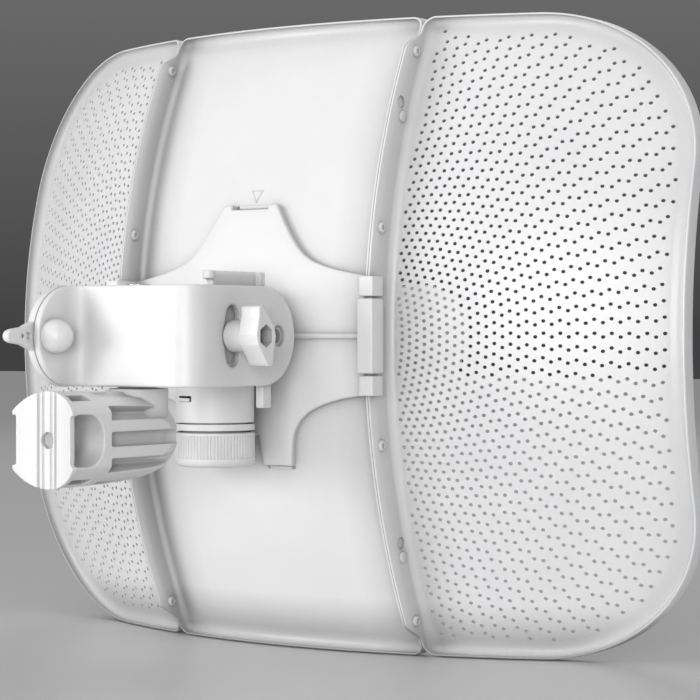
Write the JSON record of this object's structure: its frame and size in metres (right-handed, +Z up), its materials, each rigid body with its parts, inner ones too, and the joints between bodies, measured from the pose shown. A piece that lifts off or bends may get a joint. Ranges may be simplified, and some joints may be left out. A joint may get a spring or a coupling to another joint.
{
  "type": "parabolic dish antenna",
  "caption": "Perforated parabolic reflector in joined panels with a tube feed, a rear radio housing, a knob-locked tilt arm and a swivelling pole saddle.",
  "frame": {"origin": "centre of the mouth of the bolt hole in the pole saddle's valley", "axes": "+Y along the beam away from the pole, +Z up along the pole, +X to the right seen from the pole"},
  "size_m": [0.358, 0.2778, 0.272],
  "materials": {
    "dish_paint": "semi-gloss white powder coat on thin sheet",
    "white_plastic": "fine satin white outdoor plastic",
    "steel": "zinc-plated",
    "board": "solder-resist green board",
    "rubber": "soft dark seal"
  },
  "bodies": {
    "pole_mount": {"clamp_body": "white_plastic", "swivel_washer": "steel", "swivel_screw": "steel"},
    "arm": {"tilt_arm": "white_plastic", "swivel_sleeve": "white_plastic", "sleeve_rivets": "white_plastic", "sight_plate": "white_plastic", "arm_bolt": "white_plastic", "arm_nut": "steel"},
    "head": {"rear_bracket": "white_plastic", "pivot_ear": "white_plastic", "ear_screws": "steel", "pivot_pin": "white_plastic", "tilt_bolt": "steel", "radio_housing": "white_plastic", "housing_latch": "white_plastic", "seal_ring": "white_plastic", "radio_board": "board", "ethernet_jack": "steel", "gland_seal": "rubber", "reflector_center": "dish_paint", "reflector_left": "dish_paint", "reflector_right": "dish_paint", "joint_rivets": "dish_paint", "keyhole_studs": "dish_paint", "feed_collar": "white_plastic", "feed_tube": "white_plastic", "feed_board": "board", "feed_reflector": "steel", "feed_cap": "white_plastic"},
    "collar": {"knurled_collar": "white_plastic"},
    "knob": {"wing_knob": "white_plastic", "knob_nut": "steel"}
  },
  "joints": [
    {"name": "azimuth_swivel", "type": "hinge", "parent": "pole_mount", "child": "arm", "pos_m": [0, 0.0545, 0.04], "axis": [0, 0, 1], "range_deg": [-25, 5]},
    {"name": "tilt_pivot", "type": "hinge", "parent": "arm", "child": "head", "pos_m": [0, 0.0985, 0.04], "axis": [1, 0, 0], "range_deg": [-14, 14]},
    {"name": "knob_turn", "type": "hinge", "parent": "head", "child": "knob", "pos_m": [0, 0.0665, 0.04], "axis": [1, 0, 0], "continuous": true},
    {"name": "collar_turn", "type": "hinge", "parent": "head", "child": "collar", "pos_m": [0, 0.1048, 0], "axis": [0, 0, 1], "continuous": true}
  ]
}
